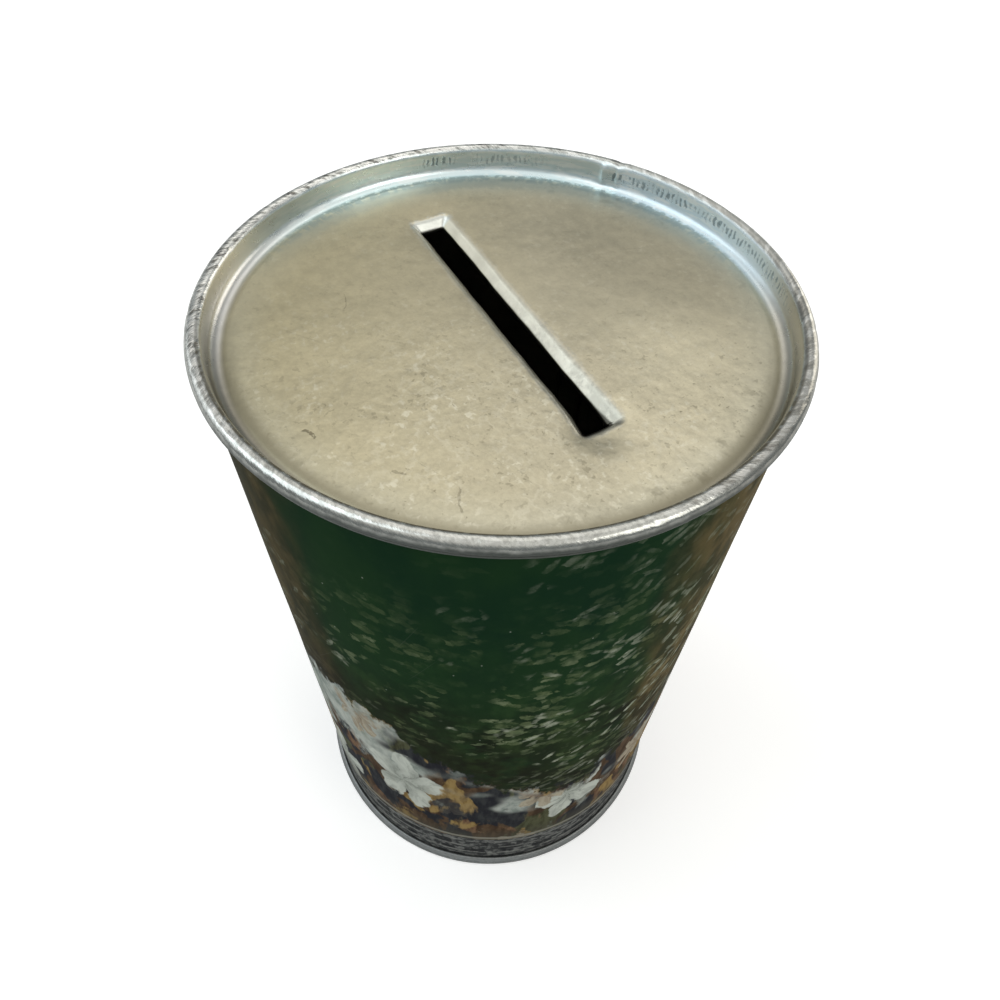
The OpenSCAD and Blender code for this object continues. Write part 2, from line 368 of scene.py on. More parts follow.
def body_rings():
    """The body's rings: outside down, round the lower hook, inside up, round the upper hook."""
    angle = body_angles()
    s = turn_to(angle, seam_turn) * body_r / wall_out
    groove = soft_step(s, lock_w, lock_w + 0.34) * (1 - soft_step(s, slope_s + 0.05, slope_e))
    lap = 0.05 * hump(s - lock_w - 0.1, 0.12)
    fold = soft_step(s, -lock_w - 0.42, -lock_w - 0.1) * (1 - soft_step(s, slope_s + 0.1, slope_e + 0.1))
    hook = path(
        arc((bend_c, bend_z), bend_r, 180, 360, 14),
        [(flange_out, upright_h + 0.1), (flange_out - 0.12, body_hook), (flange_in, body_hook)],
        arc((bend_c, bend_z), bend_r - body_t, 360, 180, 10),
    )

    def wall(r, z, inside):
        from_end = np.minimum(z, can_h - z)
        sheet = soft_step(from_end, lap_h - 0.3, lap_h + 0.3)
        if inside:
            radius = r - lock_step * fold * sheet
        else:
            uneven = 0.05 + 0.035 * ripple(angle * 26, z + 0 * angle, 30, 51)
            radius = r - lock_step * groove * sheet - lap * (1 - sheet) - soft_step(from_end, 2, 9) * uneven
        return np.stack([radius * np.cos(angle), radius * np.sin(angle), z + 0 * angle], 1)

    heights = body_heights()
    rows = [wall(body_r, z, False) for z in heights[::-1]]
    rows += list(spin(hook[::-1], angle, False))
    rows += [wall(body_in, z, True) for z in heights[::2]]
    rows += list(spin(hook, angle, True))
    return np.stack(rows)


def solder_rings():
    """The solder in the side seam's groove, as rings across the run, a little lumpy."""
    low_z, high_z = lap_h + 0.02, can_h - lap_h - 0.02
    z = np.concatenate([[low_z], np.linspace(low_z + 0.08, high_z - 0.08, 260), [high_z]])
    lump = 0.5 + 0.5 * ripple(z, 0 * z, 1.7, 61)
    slow = 0.5 + 0.5 * ripple(z, 0 * z, 9, 62)
    top = np.linspace(lock_w + 0.06, slope_e - 0.06, 9)
    under = [slope_e - 0.22, slope_e - 0.45, slope_e - 0.62, lock_w + 0.36, lock_w + 0.3, lock_w + 0.2]
    under_r = body_r - np.array([0.2, 0.42, 0.58, 0.6, 0.42, 0.2])
    rows = []
    for at, fine, coarse in zip(z, lump, slow):
        bulge = 0.035 + 0.03 * fine + 0.08 * coarse
        skin = body_r - 0.04 - bulge * np.sin(np.linspace(0, np.pi, len(top)))
        s, r = np.concatenate([top, under]), np.concatenate([skin, under_r])
        a = math.radians(seam_turn) + s / body_r
        rows.append(np.stack([r * np.cos(a), r * np.sin(a), at + 0 * s], 1))
    return np.stack(rows)


def new_object(name, data):
    obj = bpy.data.objects.new(name, data)
    bpy.context.scene.collection.objects.link(obj)
    return obj


def sheet(name, rings, capped=False):
    """A mesh over closed rings of points. The last ring joins the first, or both are capped."""
    m, n, _ = rings.shape
    verts = rings.reshape(-1, 3) * MM
    rows, cols = np.arange(m - 1 if capped else m)[:, None], np.arange(n)
    nxt_row, nxt_col = (rows + 1) % m, (cols + 1) % n
    corners = [rows * n + cols, rows * n + nxt_col, nxt_row * n + nxt_col, nxt_row * n + cols]
    quads = np.stack(corners, -1).reshape(-1, 4)
    p = verts[quads]
    volume = np.einsum("ij,ij->i", p[:, 0], np.cross(p[:, 1], p[:, 2]) + np.cross(p[:, 2], p[:, 3])).sum()
    faces = quads.tolist()
    if capped:
        middle, last = m * n + 0 * cols, (m - 1) * n
        verts = np.concatenate([verts, verts.reshape(rings.shape)[[0, -1]].mean(1)])
        faces += np.stack([middle, nxt_col, cols], 1).tolist()
        faces += np.stack([middle + 1, last + cols, last + nxt_col], 1).tolist()
    mesh = bpy.data.meshes.new(name)
    mesh.from_pydata(verts, [], faces, shade_flat=False)
    mesh.validate()
    if volume < 0:
        mesh.flip_normals()
    mesh.update()
    return new_object(name, mesh)


# Materials


class Value:
    """A number or a colour that changes over a material, with plain arithmetic."""

    def __init__(self, paint, socket):
        self.paint, self.socket = paint, socket

    def __add__(self, other):
        return self.paint.math("ADD", self, other)

    def __sub__(self, other):
        return self.paint.math("SUBTRACT", self, other)

    def __rsub__(self, other):
        return self.paint.math("SUBTRACT", other, self)

    def __mul__(self, other):
        return self.paint.math("MULTIPLY", self, other)

    def __truediv__(self, other):
        return self * (1 / other)

    def __abs__(self):
        return self.paint.math("ABSOLUTE", self)

    __radd__, __rmul__ = __add__, __mul__

    def span(self, lo, hi, first, last, **settings):
        """first below lo, last above hi, straight between."""
        return self.paint.node("MapRange", self, lo, hi, first, last, **settings)

    def step(self, lo, hi):
        """0 below lo, 1 above hi, smooth between. With lo above hi it falls instead."""
        ends = (1.0, 0.0) if lo > hi else (0.0, 1.0)
        return self.span(min(lo, hi), max(lo, hi), *ends, interpolation_type="SMOOTHSTEP")

    def within(self, a, b, c, d):
        """Rises from a to b and falls from c to d."""
        return self.step(a, b) * self.step(d, c)

    def fade(self, least):
        """From least to 1 as the value goes from 0 to 1."""
        return self.span(0, 1, least, 1)

    def blend(self, lo, hi, one, two):
        """One tone below lo and another above hi."""
        return self.paint.mix(self.step(lo, hi), one, two)


class Paint:
    """One material. Its colour and its skin's relief build up coat by coat, in millimetres."""

    def __init__(self, name):
        self.mat = bpy.data.materials.new(name)
        self.mat.use_nodes = True
        self.tree = self.mat.node_tree
        self.tree.nodes.clear()
        self.colour, self.skin = None, None
        place = self.add("TexCoord").outputs["Object"]
        self.p = self.vec("MULTIPLY", place, (1000, 1000, 1000))
        self.x, self.y, self.z = self.split(self.p)
        self.r = self.reach(self.x, self.y)

    def add(self, kind, inputs=None, **settings):
        node = self.tree.nodes.new("ShaderNode" + kind)
        for key, value in settings.items():
            setattr(node, key, value)
        for key, value in (inputs or {}).items():
            self.put(node.inputs[key], value)
        return node

    def put(self, socket, value):
        if isinstance(value, Value):
            value = value.socket
        if isinstance(value, bpy.types.NodeSocket):
            self.tree.links.new(value, socket)
        elif isinstance(value, (tuple, list)) and len(value) == 3 and len(socket.default_value) == 4:
            socket.default_value = (*value, 1)
        else:
            socket.default_value = value

    def node(self, kind, *values, **settings):
        """The first output of a node with these values in its first inputs."""
        return Value(self, self.add(kind, dict(enumerate(values)), **settings).outputs[0])

    def math(self, kind, a, b=0.0, clamp=False):
        return self.node("Math", a, b, operation=kind, use_clamp=clamp)

    def vec(self, kind, a, b):
        return self.node("VectorMath", a, b, operation=kind)

    def xyz(self, x=0.0, y=0.0, z=0.0):
        return self.node("CombineXYZ", x, y, z)

    def split(self, value, kind="XYZ"):
        return [Value(self, out) for out in self.add("Separate" + kind, {0: value}).outputs]

    def most(self, total, *others):
        for other in others:
            total = self.math("MAXIMUM", total, other)
        return total

    def reach(self, x, y):
        """The distance from the middle."""
        return self.math("SQRT", x * x + y * y)

    def without(self, a):
        return self.math("SUBTRACT", 1.0, a, clamp=True)

    def mix(self, factor, a, b):
        return Value(self, self.add("Mix", {0: factor, 6: a, 7: b}, data_type="RGBA").outputs[2])

    def noise(self, size, detail, rough, seed=0.0, at=None, warp=0.0, colour=False):
        """Noise whose largest lumps are about size across."""
        place = self.vec("ADD", self.p if at is None else at, (seed * 17.3, seed * 7.9, seed * 11.1))
        inputs = {"Vector": place, "Scale": 1.0 / size, "Detail": detail, "Roughness": rough}
        inputs["Distortion"] = warp
        return Value(self, self.add("TexNoise", inputs).outputs[1 if colour else 0])

    def drift(self, amount, size, detail, rough, seed, at=None):
        """An uneven sideways shift, as a vector."""
        field = self.noise(size, detail, rough, seed, at, colour=True)
        return self.vec("MULTIPLY", self.vec("SUBTRACT", field, (0.5, 0.5, 0.5)), (amount, amount, 0))

    def cells(self, at, loose=1.0):
        """2-D cells of unit size: distance to the nearest centre, three random numbers, and its place."""
        inputs = {"Vector": at, "Scale": 1.0, "Randomness": loose}
        found = self.add("TexVoronoi", inputs, voronoi_dimensions="2D").outputs
        random = self.split(found["Color"], "Color")
        return Value(self, found["Distance"]), random, Value(self, found["Position"])

    def coat(self, share, tone):
        """Lays a tone over the colour so far."""
        self.colour = self.mix(share, self.colour, tone)

    def emboss(self, height, depth):
        """Adds a relief of this depth to the skin so far."""
        inputs = {"Strength": 1.0, "Distance": depth * MM, "Height": height}
        if self.skin:
            inputs["Normal"] = self.skin
        self.skin = Value(self, self.add("Bump", inputs).outputs[0])

    def finish(self, roughness, metallic=0.0, specular=0.5):
        inputs = {"Base Color": self.colour, "Roughness": roughness, "Metallic": metallic}
        inputs.update({"Normal": self.skin, "Specular IOR Level": specular})
        shader = self.add("BsdfPrincipled", inputs)
        self.add("OutputMaterial", {0: shader.outputs[0]})
        return self.mat


def turned(x, y, angle):
    c, s = math.cos(math.radians(angle)), math.sin(math.radians(angle))
    return x * c + y * s, y * c - x * s


def scratches(m, at, spacing, length, angle, thin, keep, seed):
    """Fine straight scratches: long thin cells, of which a share is kept."""
    u, v = turned(*m.split(at)[:2], angle)
    place = m.xyz(u / length + seed * 3.7, v / spacing + seed * 5.1)
    _, (a, b, _), centre = m.cells(place)
    dx, dy, _ = m.split(m.vec("SUBTRACT", place, centre))
    line = abs(dy - (a - 0.5) * 0.5 * dx).step(thin, thin * 0.3)
    return line * abs(dx).step(0.4, 0.15) * b.step(keep, keep - 0.02)


def mark(m, x, y, start, stop, bow, wide):
    """One short bowed mark from start to stop, thin at its ends."""
    length = math.dist(start, stop)
    c, s = (stop[0] - start[0]) / length, (stop[1] - start[1]) / length
    dx, dy = x - start[0], y - start[1]
    t = dx * (c / length) + dy * (s / length)
    arch = t * (1.0 - t) * 4.0
    off = dy * c - dx * s - arch * bow
    return abs(off).step(wide, wide * 0.35) * arch.step(0.0, 0.35)


class TinPlate(Paint):
    """The tin plate of an end, with the places that its coats go by."""

    def __init__(self, name, is_top):
        super().__init__(name)
        self.is_top = is_top
        self.depth = can_h - self.z if is_top else self.z
        # How far a place is from the middle, away from the photograph's camera and to its right
        self.beyond = self.x * -0.87 + self.y * 0.5
        self.aside = self.x * 0.5 + self.y * 0.87
        turn = self.math("ARCTAN2", self.y, self.x)
        self.degrees, self.girth = turn * (180 / math.pi), turn * wall_out
        self.wall = self.r.step(24.2, 24.9)
        self.panel = self.r.step(panel_x + 0.3, panel_x - 0.5)
        self.nearer = self.beyond.step(6, -12) * self.panel * self.aside.span(-20, -6, 0.45, 1)
        # Depth and radius together, across the rim's inner shoulder
        self.shoulder = inner_c[0] - self.r + self.depth
        self.on_shoulder = self.r.step(rim_in - 0.1, rim_in - 0.02)
        self.rim = self.r.step(rim_in + 0.02, rim_in + 0.25) * self.depth.step(1.1, 0.5)
        self.mottle = self.noise(1.1, 3, 0.6, 2)
        self.grain = self.noise(0.3, 2, 0.6, 3)
        self.speck = self.noise(0.4, 3, 0.65, 14)
        self.flat = self.vec("ADD", self.xyz(self.x, self.y), self.drift(0.35, 0.5, 2, 0.6, 7))
        self.lumps = self.noise(0.75, 2, 0.6, 10, self.flat)
        self.crinkle = 1.0 - abs(self.noise(1.7, 3, 0.55, 21, self.flat) - 0.5) * 5.0


def lacquer(m, light, dark, bluish_painted_reflection):
    """Mottled lacquer in the photograph's tones, with painted light and shade over the top's panel, and a
    painted bluish reflection in a ring towards the wall, stronger behind.
    """
    tone = m.noise(9, 2, 0.5, 1) * 0.2 + m.mottle * 0.42 + m.grain * 0.38
    tone = 0.5 + (tone.step(0.38, 0.62) - 0.5) * m.nearer.fade(0.6)
    m.colour = m.mix(tone, dark, light)
    if m.is_top:
        # Painted light and shade: the top's panel lighter to the near right, darker to the far right, a
        # little darker in front, and warmer to the left.
        painted_light = m.aside.step(6, 15) * m.beyond.step(4, -3)
        dim = m.aside.step(2, 9) * m.beyond.step(2, 8)
        level = 0.985 + painted_light * 0.2 + dim * -0.12 + m.beyond.step(-4, -14) * -0.03
        green = level * m.aside.span(-20, 4, 0.975, 1.0)
        blue = level * m.aside.span(-20, 4, 0.87, 1.0)
        m.colour = m.vec("MULTIPLY", m.colour, m.xyz(level, green, blue))
    # A painted bluish reflection in a ring towards the wall, stronger behind
    ring = (m.r + m.noise(5, 2, 0.5, 5) * 1.5).step(20, 26.5)
    m.coat(ring * m.beyond.step(6, 24).span(0, 1, 0.25, 0.8), bluish_painted_reflection)


def wall_tones(m):
    """The wall inside the rim, with painted light, shade and reflections: in front lighter on the left and
    darker and warmer on the right, pale bluish behind. Gives the place of its painted bluish highlight.
    """
    near = m.aside.blend(-6, 6, (0.76, 0.755, 0.74), (0.65, 0.63, 0.565))
    m.coat(m.wall * 0.9, m.beyond.blend(2, 20, near, (0.83, 0.97, 0.99)))
    # A painted bluish highlight over the far right part of the wall, where the wall is also made less
    # metallic
    painted_blue_highlight = m.wall * m.most(m.degrees.within(58, 84, 121, 125), m.degrees.within(121, 125, 150, 180) * 0.3)
    m.coat(painted_blue_highlight * 0.85, (0.69, 0.82, 0.9))
    return painted_blue_highlight


def panel_flecks(m, pale):
    """Pale flecks, dull spots and dark pits, most of them in the near part."""
    flecks = m.lumps.step(0.54, 0.68) * m.noise(4, 3, 0.6, 8).step(0.38, 0.6)
    dull = m.lumps.step(0.42, 0.33) * m.noise(5, 3, 0.6, 18).step(0.4, 0.58)
    pits = m.noise(0.42, 2, 0.6, 32, m.flat).step(0.33, 0.24)
    m.coat(flecks * m.panel * m.nearer.fade(0.3) * 0.6, pale)
    m.coat(dull * m.panel * m.nearer.fade(0.35) * 0.5, (0.28, 0.25, 0.175))
    m.coat(pits * m.nearer * 0.55, (0.22, 0.19, 0.125))


def panel_scratches(m):
    """Fine scratches, and short dark marks where the photograph has them. Gives both."""
    fine = m.most(
        scratches(m, m.flat, 3.6, 7.0, 25, 0.01, 0.22, 1),
        scratches(m, m.flat, 4.2, 5.0, -48, 0.009, 0.22, 2),
        scratches(m, m.flat, 3.1, 3.5, 80, 0.01, 0.16, 3),
    )
    fine = fine * m.noise(2.2, 2, 0.6, 6).step(0.44, 0.58) * m.panel
    m.coat(fine * 0.14, (0.3, 0.28, 0.21))
    dark = scratches(m, m.flat, 9.0, 6.0, 55, 0.014, 0.2, 7) * m.panel * 0.15
    if m.is_top:
        x, y, _ = m.split(m.flat)
        for start, stop, bow, wide, strength in (
            ((5.2, -20.5), (6.6, -19.9), 0.14, 0.2, 1.0),
            ((15.9, -12.1), (18.3, -13.1), -0.2, 0.13, 0.6),
            ((12.2, -16.1), (13.1, -15.2), 0.1, 0.16, 0.5),
            ((-9.5, -11.5), (-7.2, -12.4), 0.2, 0.07, 0.5),
        ):
            dark = m.most(dark, mark(m, x, y, start, stop, bow, wide) * strength)
    dark = dark * m.noise(0.35, 2, 0.6, 19).step(0.3, 0.5)
    m.coat(dark * 0.68, (0.15, 0.125, 0.08))
    return fine, dark


def panel_stains(m, pale):
    """Low pale ridges, stains near the groove, and painted brown shade at the foot of the near wall."""
    ridge = m.crinkle.step(0.72, 0.95) * m.noise(3, 2, 0.6, 22).step(0.45, 0.6) * m.nearer
    m.coat(ridge * 0.25, pale)
    stain = m.noise(1.8, 3, 0.65, 23).step(0.54, 0.68) * m.r.within(21.2, 22.8, 24.0, 24.5)
    stain = stain * m.noise(12, 2, 0.5, 24).step(0.46, 0.6) * m.aside.span(-6, 14, 0.25, 1)
    m.coat(stain * 0.45, (0.22, 0.2, 0.14))
    # Painted shade: brown at the foot of the near wall, where the groove lies in shadow
    foot = m.r.within(22.7, 24.3, rim_in - 0.1, rim_in) * m.beyond.step(0, -14)
    m.coat(foot * 0.75, (0.22, 0.195, 0.13))


def slot_edge(m):
    """The lacquer along the slot's edge, rubbed pale and speckled, with the turned-down edge painted pale as
    a highlight.
    """
    dx = m.most(abs(m.x - slot_x) - slot_l / 2, 0.0)
    dy = m.most(abs(m.y - slot_y) - slot_w / 2, 0.0)
    off = m.reach(dx, dy)
    edge = (off + (m.noise(0.7, 3, 0.65, 25) - 0.5) * 0.9).step(1.35, 0.95)
    edge = edge * m.noise(0.28, 2, 0.6, 26).step(0.3, 0.55)
    # Pale tones, partly rubbed lacquer and partly painted highlight: warm at the far end of the long sides,
    # greyer towards the near end, bluish at the far end itself
    grey = m.noise(1.3, 3, 0.6, 37).blend(0.42, 0.62, (0.42, 0.42, 0.38), (0.62, 0.61, 0.545))
    bright = m.mix(m.x.span(-14, 13, 0.15, 1), (0.72, 0.69, 0.585), grey)
    far_end = slot_x - slot_l / 2
    # The rubbed band takes these tones in part, the turned-down edge more strongly as a painted highlight
    worn = m.most(edge * 0.5, off.step(turn_w + 0.3, turn_w) * 0.75)
    m.coat(worn, m.x.blend(far_end + 0.3, far_end - 0.1, bright, (0.7, 0.74, 0.73)))
    specks = m.noise(0.3, 3, 0.65, 33).step(0.5, 0.64) * m.noise(2.4, 2, 0.5, 34).step(0.4, 0.6)
    specks = specks * off.step(turn_w + 0.35, turn_w + 0.1) * m.x.span(-6, 12, 0.35, 1)
    m.coat(specks * 0.4, (0.33, 0.32, 0.28))


def rim_scrapes(m):
    """The rim: bare bright tin, painted darker on its right side as shade, scraped and nicked slantwise by
    the seamer's rolls. Gives its relief.
    """
    over = m.r.span(rim_in + 0.3, wall_out - 0.25, -1, 1)
    across = m.r + m.depth * over
    lean, climb = m.girth + across, across - m.girth
    scrape = m.noise(1.0, 3, 0.55, 12, m.xyz(lean * 0.26, climb * 0.8))
    nicks = m.noise(1.0, 3, 0.6, 35, m.xyz(lean * 0.62, climb * 2.1))
    m.coat(m.rim * 0.9, m.speck.blend(0.36, 0.64, (0.42, 0.425, 0.4), (0.6, 0.61, 0.575)))
    # Painted shade: the rim darker on its right side
    m.coat(m.rim * m.aside.step(10, 20) * 0.75, (0.39, 0.382, 0.35))

    top = m.on_shoulder * m.shoulder.step(0.95, 0.6) * m.r.step(wall_out - 0.2, wall_out - 0.6)
    calm = m.most(m.aside.step(10, 20), m.beyond.step(-14, -24))
    patchy = m.noise(4.5, 3, 0.6, 13).step(0.36, 0.6) * m.beyond.step(-26, -8)
    pale = scrape.step(0.5, 0.58) * top * patchy.fade(0.4) * calm.span(0, 1, 1, 0.55)
    dark = scrape.step(0.44, 0.37) * top * patchy.fade(0.3) * calm.span(0, 1, 1, 0.45)
    m.coat(pale * 0.85, (0.95, 0.96, 0.94))
    m.coat(dark * 0.8, (0.13, 0.12, 0.11))

    left = m.aside.step(6, -8) * m.beyond.step(-21, -7)
    right = m.aside.within(11, 14, 19, 23) * m.beyond.step(-8, -15) * 0.6
    nicked = m.most(left, right) * top
    m.coat(nicked * nicks.step(0.45, 0.55) * 0.75, (0.93, 0.925, 0.89))
    m.coat(nicked * nicks.step(0.45, 0.37) * 0.72, (0.17, 0.16, 0.14))
    if m.is_top:
        crossover = 124.6
        spot = abs(m.degrees - crossover).step(1.5, 0.6) * m.r.step(wall_out - 1.1, wall_out - 0.6)
        m.coat(spot * m.speck.step(0.35, 0.55) * 0.75, (0.1, 0.105, 0.11))
    return (scrape - 0.5) * m.rim, (nicks - 0.5) * nicked


def painted_wall_glints(m):
    """Painted pale streaks of highlight over the far part of the wall. Gives their place."""
    painted_glints = m.noise(1.6, 3, 0.65, 29, m.xyz(m.girth * 0.6, m.depth * 4.5))
    painted_glints = painted_glints.step(0.48, 0.6) * m.wall * m.beyond.step(6, 20) * m.r.step(rim_in + 0.3, rim_in + 0.1)
    m.coat(painted_glints * 0.6, (0.97, 1.0, 0.98))
    return painted_glints


def chuck_marks(m):
    """Short upright marks of the seaming chuck on the far part of the wall. Gives their place."""
    pitch = 0.62
    marks = m.math("FRACT", m.girth / pitch + m.noise(2, 3, 0.6, 27) * 2.4)
    marks = abs(marks - 0.5).step(0.34, 0.14) * m.noise(1.3, 3, 0.65, 30).step(0.36, 0.56)
    ragged = m.depth + (m.noise(0.6, 3, 0.65, 28) - 0.5) * 1.5
    marks = marks * ragged.within(0.75, 0.95, 1.5, 1.75) * m.r.step(rim_in - 0.3, rim_in - 0.15)
    marks = marks * m.most(
        m.degrees.within(58, 74, 124, 125.5),
        m.degrees.within(140, 145, 157, 160) * 0.6,
        m.degrees.within(163, 165.5, 170, 173),
    )
    m.coat(marks * 0.75, (0.16, 0.225, 0.26))
    return marks


def groove_streaks(m):
    """Grey streaks along the far side of the groove, and painted shade over the panel beside it."""
    streak = m.noise(1.0, 3, 0.65, 31, m.xyz(m.girth * 1.1, m.r * 0.7))
    far = m.beyond.step(4, 18)
    groove = m.r.within(22.9, 23.8, 24.6, 24.9) * far
    m.coat(groove * streak.step(0.6, 0.46) * 0.75, (0.3, 0.36, 0.36))
    # Painted shade: a ragged darker band on the panel's far edge beside the groove
    painted_verge_shade = (m.r + (streak - 0.5) * 1.6).step(21.4, 22.6) * m.r.step(24.0, 23.6) * far
    m.coat(painted_verge_shade * 0.4, (0.3, 0.335, 0.31))


def painted_shade_and_dirt(m, painted_shade_tones):
    """A thin brown line inside the rim on the near side, partly soiling and partly painted shade, and
    painted shade down the seam's lower wall in place of its dark reflection. Gives both places.
    """
    # Partly soiling and partly painted shade: a thin brown line where the rim's inner edge turns away, on
    # the near side only
    line = m.on_shoulder * m.shoulder.within(0.14, 0.34, 0.55, 0.85) * m.beyond.step(0, -16)
    line = line * m.noise(0.9, 3, 0.65, 15).step(0.28, 0.52)
    m.coat(line * 0.85, (0.15, 0.125, 0.078))
    # Painted shade down the seam's lower wall, in place of the dark reflection there
    uneven = (m.mottle - 0.5) * 0.5 + (m.speck - 0.5) * 0.4
    low = m.r.step(26.0, 26.25) * (m.depth + uneven).step(0.1, 0.8)
    m.coat(low * 0.92, m.mix(m.speck, *painted_shade_tones))
    return line, low


def tin_plate(name, tones, painted_shade_tones, rough, is_top):
    """Matt lacquered tin plate: mottled, with an orange-peel skin, nicks, scratches and soiling, and painted
    light, shade and reflections.
    """
    m = TinPlate(name, is_top)
    light = tones[0]
    white = (1, 0.98, 0.84)
    lacquer(m, *tones)
    painted_blue_highlight = wall_tones(m)
    panel_flecks(m, m.mix(0.5, light, white))
    fine, dark = panel_scratches(m)
    panel_stains(m, m.mix(0.4, light, white))
    if is_top:
        slot_edge(m)
    scrape, nicks = rim_scrapes(m)
    painted_glints = painted_wall_glints(m)
    marks = chuck_marks(m) if is_top else None
    groove_streaks(m)
    line, low = painted_shade_and_dirt(m, painted_shade_tones)
    # Painted shade down inside the slot's turned edge, below its bend
    turned_down = panel_depth + turn_s
    painted_throat_shade = m.depth.step(turned_down - 0.05, turned_down + 0.12) * m.r.step(20, 19)
    m.coat(painted_throat_shade * 0.85, (0.03, 0.028, 0.022))

    m.emboss(m.noise(1.9, 1, 0.4, 9) * m.nearer.fade(0.5), 0.03)
    m.emboss(m.noise(1.05, 1, 0.4, 36) * m.nearer.fade(0.25), 0.03)
    m.emboss(m.lumps * m.nearer.fade(0.3), 0.012)
    m.emboss(m.crinkle * m.nearer, 0.007)
    m.emboss(m.grain, 0.004)
    m.emboss(1.0 - (fine * 0.4 + dark * 1.2), 0.012)
    m.emboss(scrape, 0.06)
    m.emboss(nicks, 0.05)
    if is_top:
        m.emboss(m.without(marks), 0.03)
    roughness = rough + (m.mottle - 0.5) * 0.16 + m.wall * -0.08 + low * 0.2 + line * 0.2
    roughness = roughness + m.rim * -0.06 + painted_glints * 0.1
    return m.finish(roughness, metallic=1.0 - painted_blue_highlight * 0.55 if is_top else 1.0)


class Print(Paint):
    """The printed sheet, with places on it laid flat: u along it from the front, v up it."""

    brown, umber = (0.155, 0.11, 0.048), (0.055, 0.045, 0.019)

    def __init__(self, name):
        super().__init__(name)
        front, side = turned(self.x, self.y, seam_turn - 180)
        self.turn = self.math("ARCTAN2", side, front)
        self.u, self.v = self.turn * body_r, self.z
        self.at, self.tall = self.xyz(self.u, self.v), self.xyz(self.u, self.v * 0.5)
        self.mid = self.noise(3.4, 3, 0.6, 2, self.tall)
        self.soft = self.noise(11, 3, 0.55, 1, self.tall)
        # Autumn patches come three times round the can, and the green warms towards the foot
        patch = self.math("COSINE", self.turn * 3 - 1.1) + (self.soft - 0.5) * 2.6
        self.autumn = patch.step(-0.1, -0.9)
        self.lower = (self.v + (self.soft - 0.5) * 24).step(68, 46)
        self.below_sky = self.v.step(82, 58)
        # The flower bed's upper edge rises and falls three times round the can
        self.wave = self.math("SINE", self.turn * 3 + 2.4)
        self.crest = 40.0 + self.wave * 8.0 + (self.noise(3.4, 4, 0.65, 31, self.tall) - 0.5) * 20


def dabs(m, size, angle, share, soft, seed, wander=1.5):
    """Soft ragged brush dabs, size[0] along the angle and size[1] across."""
    a, b = turned(m.u, m.v, angle)
    drift = m.drift(wander, size[0] * 0.7, 3, 0.65, seed + 0.5, m.at)
    place = m.vec("ADD", m.xyz(a / size[0] + seed * 3.1, b / size[1]), drift)
    distance, (kept, level, _), _ = m.cells(place)
    hairs = m.noise(1.0, 2, 0.6, seed + 0.2, m.vec("MULTIPLY", place, (1.4, 5.0, 1)))
    body = (distance + (hairs - 0.5) * 0.25).step(0.5, 0.5 - soft)
    return body * kept.step(share, share - 0.02) * level.fade(0.4)


def ground(m):
    """Deep green, mossy here and there, with brown patches and dark hollows."""
    m.colour = m.soft.blend(0.38, 0.62, (0.0075, 0.029, 0.0135), (0.012, 0.038, 0.014))
    m.coat(m.mid.step(0.46, 0.68) * 0.45 * m.v.step(84, 62), (0.026, 0.066, 0.022))
    m.coat(m.lower * 0.75, m.mid.blend(0.4, 0.7, (0.016, 0.022, 0.009), (0.034, 0.052, 0.018)))
    m.coat(m.autumn * 0.8, m.mid.blend(0.38, 0.62, m.umber, m.brown))
    hollow = m.noise(6.5, 3, 0.6, 24, m.at).step(0.5, 0.64)
    m.coat(hollow * m.lower * 0.75, (0.009, 0.01, 0.006))


def foliage(m):
    """Foliage in five layers, each paler and smaller, gathered in clumps."""
    for size, angle, share, soft, seed, clumps, dark, pale, strength in (
        ((6.2, 4.2), 10, 0.6, 0.35, 1, (0.4, 0.56), (0.01, 0.034, 0.013), (0.018, 0.052, 0.019), 0.7),
        ((3.8, 2.4), -8, 0.55, 0.28, 2, (0.42, 0.56), (0.016, 0.042, 0.015), (0.032, 0.068, 0.025), 0.7),
        ((2.9, 1.7), 12, 0.48, 0.24, 3, (0.46, 0.57), (0.028, 0.056, 0.022), (0.058, 0.094, 0.04), 0.75),
        ((2.4, 1.3), -12, 0.46, 0.2, 4, (0.45, 0.55), (0.066, 0.098, 0.043), (0.165, 0.205, 0.102), 0.85),
        ((2.0, 1.0), 14, 0.34, 0.2, 5, (0.48, 0.58), (0.115, 0.152, 0.08), (0.25, 0.295, 0.17), 0.8),
    ):
        mask = dabs(m, size, angle, share, soft, seed)
        clump = m.noise(9, 4, 0.65, seed * 0.15 + 10, m.tall).step(*clumps)
        tint = m.noise(1.4, 3, 0.6, seed + 20, m.at)
        tone = tint.blend(0.35, 0.65, dark, pale)
        tone = m.mix(m.autumn * 0.8, tone, m.mix(tint, m.brown, (0.31, 0.235, 0.125)))
        m.coat(mask * clump * strength * m.below_sky.fade(0.06), tone)


def sprays(m):
    """Pale slanting strokes, gathered in sprays, and shade over one side of the can."""
    drift = m.math("COSINE", m.turn * 3 - 3.4)
    spray = (m.noise(8, 3, 0.6, 21, m.at) + drift * 0.12).step(0.49, 0.6) * m.below_sky.fade(0.3)
    for size, angle, share, seed, strength in (
        ((2.9, 1.05), 36, 0.26, 6, 0.85),
        ((2.2, 0.85), -28, 0.15, 7, 0.6),
        ((2.5, 0.8), 54, 0.19, 8, 0.8),
    ):
        mask = dabs(m, size, angle, share, 0.26, seed, wander=1.0)
        tint = m.noise(0.9, 3, 0.6, seed + 30, m.at)
        m.coat(mask * spray * strength, tint.blend(0.35, 0.65, (0.15, 0.19, 0.115), (0.5, 0.53, 0.42)))
    shade = m.math("COSINE", m.turn + 0.75).step(0.8, 0.97)
    m.coat(shade * 0.5, (0.014, 0.016, 0.008))


